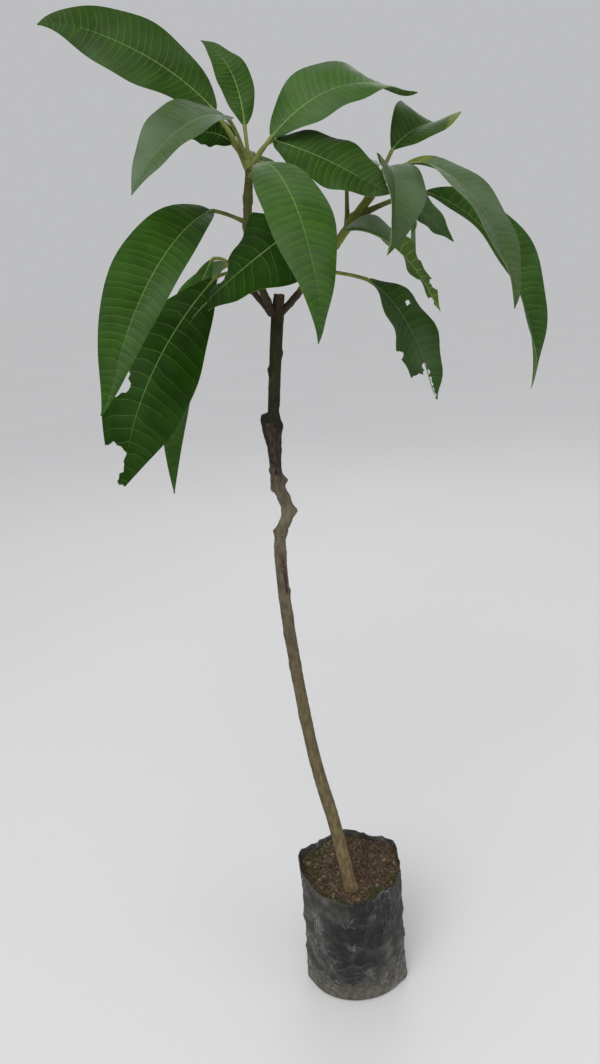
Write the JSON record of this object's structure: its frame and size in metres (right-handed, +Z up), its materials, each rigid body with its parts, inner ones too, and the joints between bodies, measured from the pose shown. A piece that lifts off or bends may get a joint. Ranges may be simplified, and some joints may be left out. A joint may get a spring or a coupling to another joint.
{
  "type": "mango tree sapling in a nursery bag",
  "caption": "Young grafted mango tree with a kinked bare stem, forked top and drooping glossy leaves, potted in a black film nursery bag of soil.",
  "frame": {"origin": "centre of the bag's flat foot, on the ground", "axes": "+Z up along the stem, +X towards the far arching leaves, -Y towards the viewer"},
  "size_m": [0.3514, 0.2583, 0.8482],
  "materials": {
    "film": "thin black polythene, wrinkled, dusty with dried mud",
    "soil": "crumbly brown potting soil with green moss",
    "bark": "grey brown bark, rough at the graft",
    "young_bark": "smooth olive green young bark",
    "leaf": "glossy dark green with pale veins"
  },
  "bodies": {
    "root": {"bag": "film", "soil": "soil", "trunk": "bark", "bough_left_tall": "young_bark", "bough_left_short": "young_bark", "bough_right": "young_bark", "foliage_top_left": "leaf", "foliage_middle_left": "leaf", "foliage_low_left": "leaf", "foliage_centre": "leaf", "foliage_low_right": "leaf", "foliage_hanging_right": "leaf", "foliage_back_right": "leaf", "foliage_far_right": "leaf", "foliage_top_right": "leaf"}
  },
  "joints": []
}
